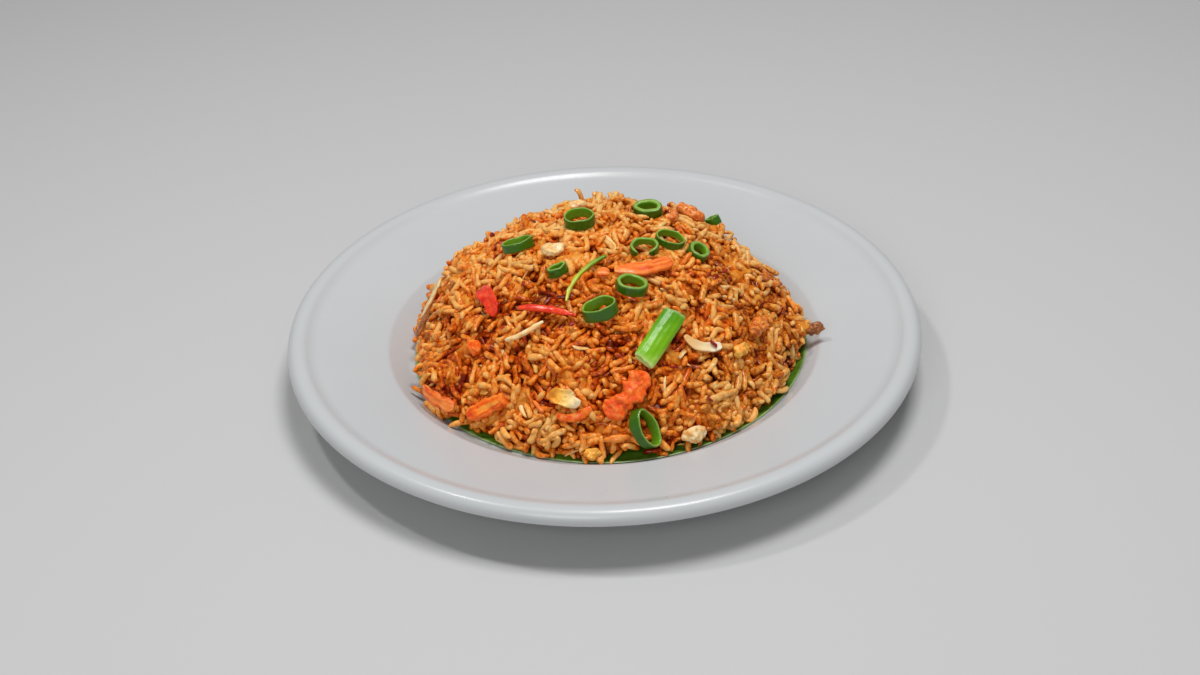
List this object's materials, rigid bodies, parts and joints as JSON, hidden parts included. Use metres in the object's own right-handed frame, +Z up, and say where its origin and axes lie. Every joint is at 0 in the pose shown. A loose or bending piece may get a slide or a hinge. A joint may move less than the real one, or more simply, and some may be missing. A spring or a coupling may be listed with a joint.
{
  "type": "fried rice plate",
  "caption": "Domed heap of fried rice with scallion rings, carrot, chilli, egg and chicken on a round banana leaf in a wide-rimmed white plate.",
  "frame": {"origin": "centre of the plate's foot ring, on the table", "axes": "+Z up; +X to the diner's right; -Y towards the diner"},
  "size_m": [0.27, 0.27, 0.0705],
  "materials": {
    "glaze": "smooth white glaze, clear soft highlights",
    "leaf": "dark green leaf with fine parallel veins, waxy sheen",
    "rice": "long cooked grains coated in orange-brown sauce, slightly oily",
    "scallion": "dark green outer skin, paler cut edge, wet sheen",
    "scallion_stalk": "bright light-green ribbed stalk, wet sheen",
    "carrot": "cooked carrot, orange, slightly rough cut faces, wet",
    "pepper": "bright red skin, glossy",
    "leek": "yellow-green strip, wet",
    "egg": "scrambled egg, white to yellow, dimpled, sauce stained",
    "chicken": "fried orange-brown pieces, rough, oily",
    "cabbage": "pale yellow cooked cabbage and sprout, translucent"
  },
  "bodies": {
    "root": {"plate": "glaze", "banana_leaf": "leaf", "rice_heap": "rice", "scallion_ring_1": "scallion", "scallion_ring_2": "scallion", "scallion_ring_3": "scallion", "scallion_ring_4": "scallion", "scallion_ring_5": "scallion", "scallion_ring_6": "scallion", "scallion_ring_7": "scallion", "scallion_ring_8": "scallion", "scallion_ring_9": "scallion", "scallion_ring_10": "scallion", "scallion_ring_11": "scallion", "scallion_stalk": "scallion_stalk", "carrot_strip": "carrot", "carrot_shred": "carrot", "leek_strip": "leek", "chilli_strip": "pepper", "pepper_curl": "pepper", "carrot_stick": "carrot", "carrot_slice": "carrot", "carrot_chunk": "carrot", "pepper_slip": "pepper", "egg_white_strip": "egg", "cabbage_strip": "cabbage", "bean_sprout": "cabbage", "crisp_flake": "chicken", "chicken_piece": "chicken", "onion_slice": "carrot", "pepper_bit": "pepper", "egg_yolk_bit": "egg", "tomato_piece": "chicken", "egg_lump": "egg", "egg_crumb": "egg", "crisp_piece": "chicken", "chicken_bit": "chicken", "egg_curd": "egg", "egg_white_bit": "egg", "egg_fold": "egg"}
  },
  "joints": []
}
